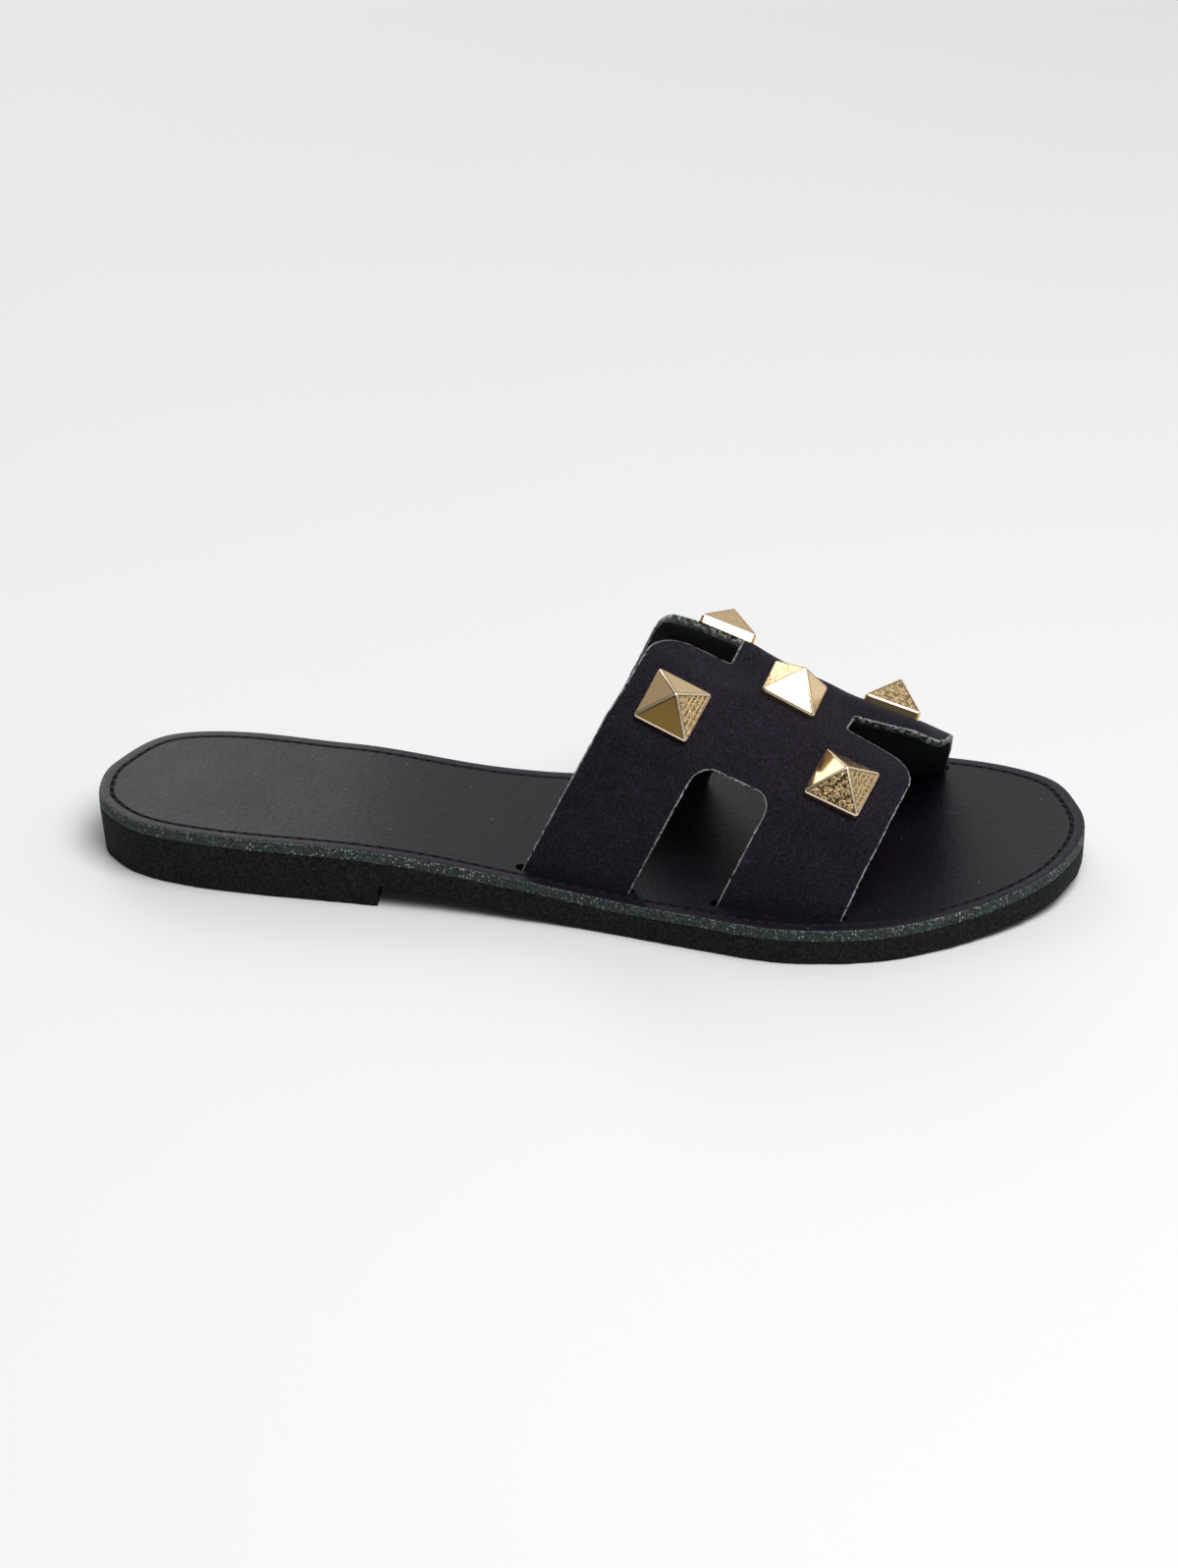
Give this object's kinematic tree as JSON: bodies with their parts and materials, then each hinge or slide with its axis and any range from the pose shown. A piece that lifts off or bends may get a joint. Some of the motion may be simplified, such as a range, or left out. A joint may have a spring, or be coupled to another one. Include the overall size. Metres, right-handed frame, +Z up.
{
  "type": "studded sandal",
  "caption": "Flat slide sandal, right shoe: a flat-cut leather strap with side windows, notches and pyramid studs over a slotted insole and a low-heeled rubber sole.",
  "frame": {"origin": "on the floor, at the middle of the sole's outline", "axes": "+X towards the toe, +Y towards the inner (medial) side of the foot, +Z up"},
  "size_m": [0.247, 0.0944, 0.0637],
  "materials": {
    "sole_rubber": "matte, finely pored",
    "insole_leather": "satin, with a raw green-black edge",
    "strap_nubuck": "nubuck, matte, aubergine black",
    "stud_gold": "pale gold plating, polished"
  },
  "bodies": {
    "root": {"outsole": "sole_rubber", "insole": "insole_leather", "strap": "strap_nubuck", "stud_center": "stud_gold", "stud_rear_lateral": "stud_gold", "stud_rear_medial": "stud_gold", "stud_front_lateral": "stud_gold", "stud_front_medial": "stud_gold"}
  },
  "joints": []
}
